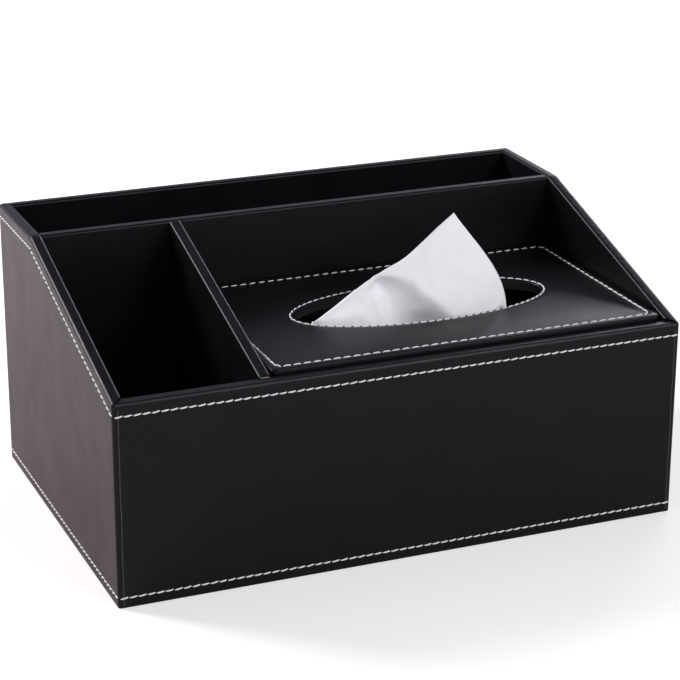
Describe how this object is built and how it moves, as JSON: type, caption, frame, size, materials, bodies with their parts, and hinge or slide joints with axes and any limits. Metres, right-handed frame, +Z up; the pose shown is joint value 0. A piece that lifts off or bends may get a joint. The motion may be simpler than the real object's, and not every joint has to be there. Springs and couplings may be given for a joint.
{
  "type": "desk tissue box with compartments",
  "caption": "Black leather-covered desk tissue box with a loose slotted lid, a tablet slot behind and a remote compartment beside it.",
  "frame": {"origin": "middle of the underside, which the box stands on", "axes": "+X to the right seen from the front, +Y from the low front wall to the high back, +Z up"},
  "size_m": [0.275, 0.183, 0.1418],
  "materials": {
    "black_leather": "black artificial leather with a fine grain and a satin sheen, white stitching along its edges",
    "fibreboard": "bare medium density fibreboard, hidden inside the leather",
    "strip_wood": "planed softwood strip",
    "underside_cloth": "black short-pile cloth, matt",
    "tissue": "soft white tissue, matt"
  },
  "bodies": {
    "box": {"base_board": "fibreboard", "front_board": "fibreboard", "back_board": "fibreboard", "left_side_board": "fibreboard", "right_side_board": "fibreboard", "slot_divider_board": "fibreboard", "remote_divider_board": "fibreboard", "front_cover": "black_leather", "back_cover": "black_leather", "left_side_cover": "black_leather", "right_side_cover": "black_leather", "slot_divider_cover": "black_leather", "remote_divider_cover": "black_leather", "slot_floor_lining": "black_leather", "remote_floor_lining": "black_leather", "tissue_floor_lining": "black_leather", "underside_sheet": "underside_cloth", "lid_rest_left": "strip_wood", "lid_rest_right": "strip_wood", "tissue_stack": "tissue", "tissue_sheet": "tissue"},
    "lid": {"lid_board": "fibreboard", "lid_lining": "underside_cloth", "lid_cover": "black_leather"}
  },
  "joints": [
    {"name": "lid_lift", "type": "slide", "parent": "box", "child": "lid", "axis": [0, 0, 1], "range_m": [0, 0.06]}
  ]
}
